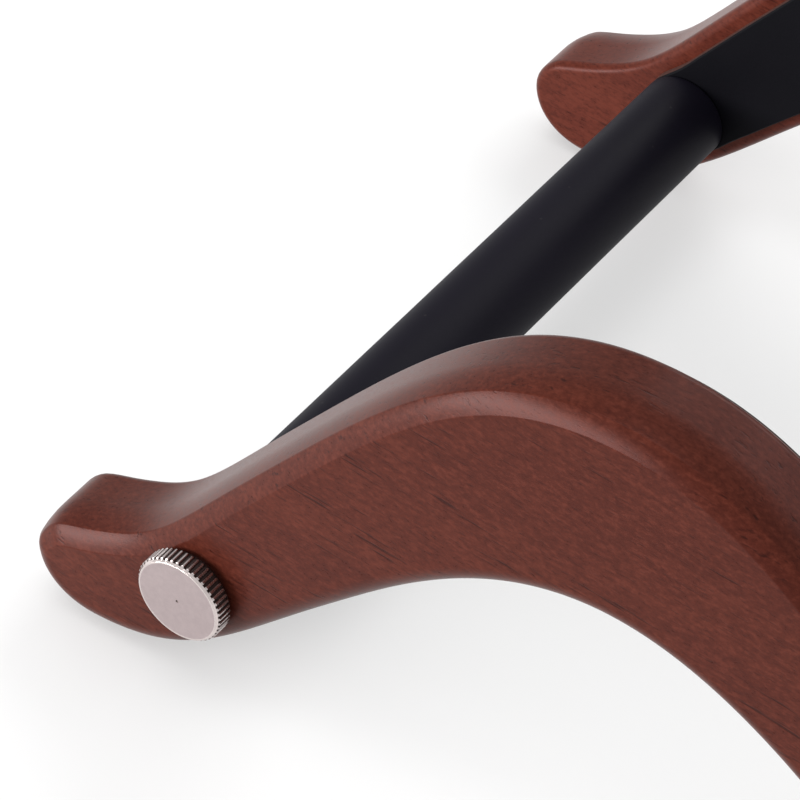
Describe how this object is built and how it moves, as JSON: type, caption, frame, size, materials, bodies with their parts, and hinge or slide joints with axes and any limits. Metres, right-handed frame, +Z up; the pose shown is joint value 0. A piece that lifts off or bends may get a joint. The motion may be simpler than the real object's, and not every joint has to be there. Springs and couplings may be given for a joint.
{
  "type": "wooden instrument floor rest",
  "caption": "Low floor rest for a string instrument: arched hardwood rails with black lined inner faces, clamped onto foam-sleeved cross tubes by knurled thumb screws.",
  "frame": {"origin": "on the floor, midway between the rails and midway along them", "axes": "+X along the rails, +Y from the front rail to the rear rail (along the cross tubes), +Z up"},
  "size_m": [0.267, 0.2146, 0.1187],
  "materials": {
    "stained_beech": "satin lacquer",
    "lining": "matte",
    "foam_sleeve": "smooth matte closed-cell foam",
    "steel_tube": "plain",
    "brass": "turned",
    "zinc_washer": "plated",
    "nickel": "satin nickel plate",
    "foot_rubber": "matte"
  },
  "bodies": {
    "frame": {"front_rail": "stained_beech", "rear_rail": "stained_beech", "front_liner": "lining", "rear_liner": "lining", "left_tube": "steel_tube", "right_tube": "steel_tube", "left_sleeve": "foam_sleeve", "right_sleeve": "foam_sleeve", "front_left_insert": "brass", "front_right_insert": "brass", "rear_left_insert": "brass", "rear_right_insert": "brass", "front_left_foot": "foot_rubber", "front_right_foot": "foot_rubber", "rear_left_foot": "foot_rubber", "rear_right_foot": "foot_rubber"},
    "front_left_washer_body": {"front_left_washer": "zinc_washer"},
    "front_left_screw_body": {"front_left_screw": "nickel"},
    "front_right_washer_body": {"front_right_washer": "zinc_washer"},
    "front_right_screw_body": {"front_right_screw": "nickel"},
    "rear_left_washer_body": {"rear_left_washer": "zinc_washer"},
    "rear_left_screw_body": {"rear_left_screw": "nickel"},
    "rear_right_washer_body": {"rear_right_washer": "zinc_washer"},
    "rear_right_screw_body": {"rear_right_screw": "nickel"}
  },
  "joints": [
    {"name": "front_left_screw_travel", "type": "slide", "parent": "frame", "child": "front_left_washer_body", "axis": [0, -1, 0], "range_m": [0, 0.012]},
    {"name": "front_left_screw_turn", "type": "hinge", "parent": "front_left_washer_body", "child": "front_left_screw_body", "pos_m": [-0.0915, -0.102, 0.0275], "axis": [0, -1, 0], "range_deg": [0, 4320]},
    {"name": "front_right_screw_travel", "type": "slide", "parent": "frame", "child": "front_right_washer_body", "axis": [0, -1, 0], "range_m": [0, 0.012]},
    {"name": "front_right_screw_turn", "type": "hinge", "parent": "front_right_washer_body", "child": "front_right_screw_body", "pos_m": [0.0915, -0.102, 0.0275], "axis": [0, -1, 0], "range_deg": [0, 4320]},
    {"name": "rear_left_screw_travel", "type": "slide", "parent": "frame", "child": "rear_left_washer_body", "axis": [0, 1, 0], "range_m": [0, 0.012]},
    {"name": "rear_left_screw_turn", "type": "hinge", "parent": "rear_left_washer_body", "child": "rear_left_screw_body", "pos_m": [-0.0915, 0.102, 0.0275], "axis": [0, 1, 0], "range_deg": [0, 4320]},
    {"name": "rear_right_screw_travel", "type": "slide", "parent": "frame", "child": "rear_right_washer_body", "axis": [0, 1, 0], "range_m": [0, 0.012]},
    {"name": "rear_right_screw_turn", "type": "hinge", "parent": "rear_right_washer_body", "child": "rear_right_screw_body", "pos_m": [0.0915, 0.102, 0.0275], "axis": [0, 1, 0], "range_deg": [0, 4320]}
  ],
  "couplings": [
    {"joint": "front_left_screw_travel", "follows": "front_left_screw_turn", "m_per_rad": 0.00015915},
    {"joint": "front_right_screw_travel", "follows": "front_right_screw_turn", "m_per_rad": 0.00015915},
    {"joint": "rear_left_screw_travel", "follows": "rear_left_screw_turn", "m_per_rad": 0.00015915},
    {"joint": "rear_right_screw_travel", "follows": "rear_right_screw_turn", "m_per_rad": 0.00015915}
  ]
}
